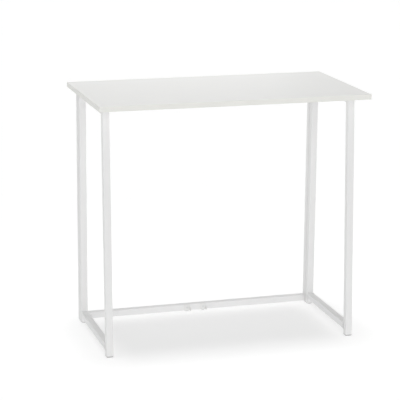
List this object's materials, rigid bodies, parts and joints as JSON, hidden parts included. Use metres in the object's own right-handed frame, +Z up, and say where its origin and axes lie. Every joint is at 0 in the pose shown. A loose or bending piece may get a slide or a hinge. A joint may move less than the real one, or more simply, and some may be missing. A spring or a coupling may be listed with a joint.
{
  "type": "folding desk",
  "caption": "White folding desk: a thin board that hinges at the rear on two square-tube side frames, which swing inwards to lie flat against a low back frame.",
  "frame": {"origin": "on the floor, under the middle of the board", "axes": "+Z up, +X to the right along the board's long side, +Y to the rear, where the back frame stands"},
  "size_m": [0.8, 0.42, 0.735],
  "materials": {
    "board": "particle board with a white melamine coating, matte with a fine texture",
    "edge_band": "white edge banding, slightly warmer than the board",
    "white_steel": "white powder coat, satin, with a faint orange-peel texture",
    "white_plastic": "moulded white plastic, matte",
    "zinc": "bright zinc plating",
    "soft_pad": "pale grey self-adhesive foam rubber"
  },
  "bodies": {
    "back_frame": {"post_left": "white_steel", "post_right": "white_steel", "stretcher": "white_steel", "top_plate_left": "white_steel", "top_plate_right": "white_steel", "base_plate_left": "white_steel", "base_plate_right": "white_steel", "base_glide_left": "white_plastic", "base_glide_right": "white_plastic", "lower_pin_left": "zinc", "lower_pin_right": "zinc", "pivot_bolt_left": "zinc", "pivot_bolt_right": "zinc", "pivot_washers": "white_plastic", "rivet_nuts": "zinc", "leg_catch_left": "white_plastic", "leg_catch_right": "white_plastic", "catch_screws": "zinc"},
    "left_frame": {"rear_leg_left": "white_steel", "front_leg_left": "white_steel", "side_rail_left": "white_steel", "front_foot_left": "white_plastic", "leg_bush_left": "white_plastic", "top_stud_left": "zinc"},
    "right_frame": {"rear_leg_right": "white_steel", "front_leg_right": "white_steel", "side_rail_right": "white_steel", "front_foot_right": "white_plastic", "leg_bush_right": "white_plastic", "top_stud_right": "zinc"},
    "desktop": {"desktop_board": "board", "edge_band_front": "edge_band", "edge_band_rear": "edge_band", "edge_band_left": "edge_band", "edge_band_right": "edge_band", "pivot_bracket_left": "white_steel", "pivot_bracket_right": "white_steel", "bracket_screws": "zinc", "stop_left_front": "white_plastic", "stop_left_rear": "white_plastic", "stop_right_front": "white_plastic", "stop_right_rear": "white_plastic", "stop_screws": "zinc", "rest_pads": "soft_pad"}
  },
  "joints": [
    {"name": "left_frame_swing", "type": "hinge", "parent": "back_frame", "child": "left_frame", "pos_m": [-0.366, 0.16099, 0], "axis": [0, 0, 1], "range_deg": [0, 90]},
    {"name": "right_frame_swing", "type": "hinge", "parent": "back_frame", "child": "right_frame", "pos_m": [0.366, 0.16099, 0], "axis": [0, 0, -1], "range_deg": [0, 90]},
    {"name": "desktop_lift", "type": "hinge", "parent": "back_frame", "child": "desktop", "pos_m": [0, 0.185, 0.684], "axis": [-1, 0, 0], "range_deg": [0, 90]}
  ]
}
